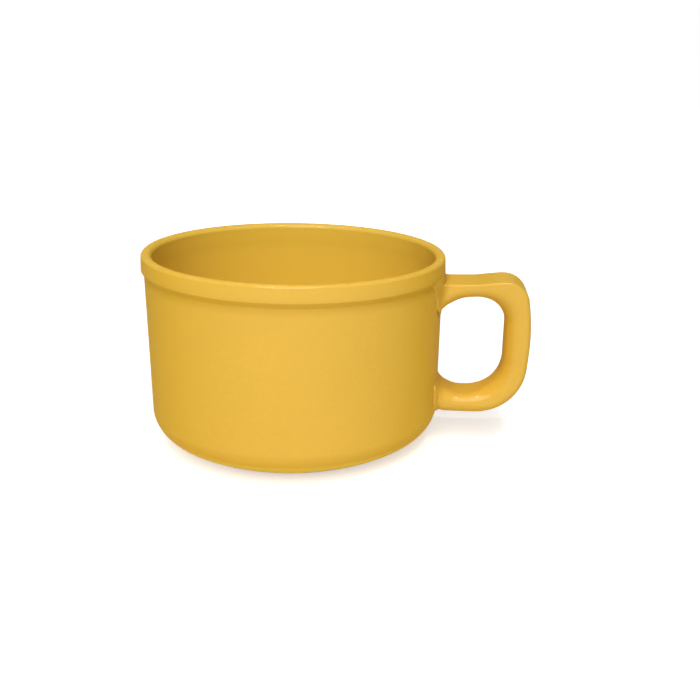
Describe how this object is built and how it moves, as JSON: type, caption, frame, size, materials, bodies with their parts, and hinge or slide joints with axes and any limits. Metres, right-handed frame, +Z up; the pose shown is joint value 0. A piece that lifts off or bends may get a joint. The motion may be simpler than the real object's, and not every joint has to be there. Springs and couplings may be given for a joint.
{
  "type": "soup mug",
  "caption": "Wide, low soup mug in one colour, with a proud band round its rim and a squared loop handle that has a raised thumb rest.",
  "frame": {"origin": "on the cup's axis, at the level that the foot ring stands on", "axes": "+Z up along the cup's axis, +X from the cup's axis through the middle of the handle, XZ the mirror plane"},
  "size_m": [0.1399, 0.108, 0.07],
  "materials": {
    "cup_body": "softly glossy moulded melamine, warm yellow all through",
    "handle": "softly glossy moulded melamine, the same warm yellow as the cup"
  },
  "bodies": {
    "root": {"cup_body": "cup_body", "handle": "handle"}
  },
  "joints": []
}
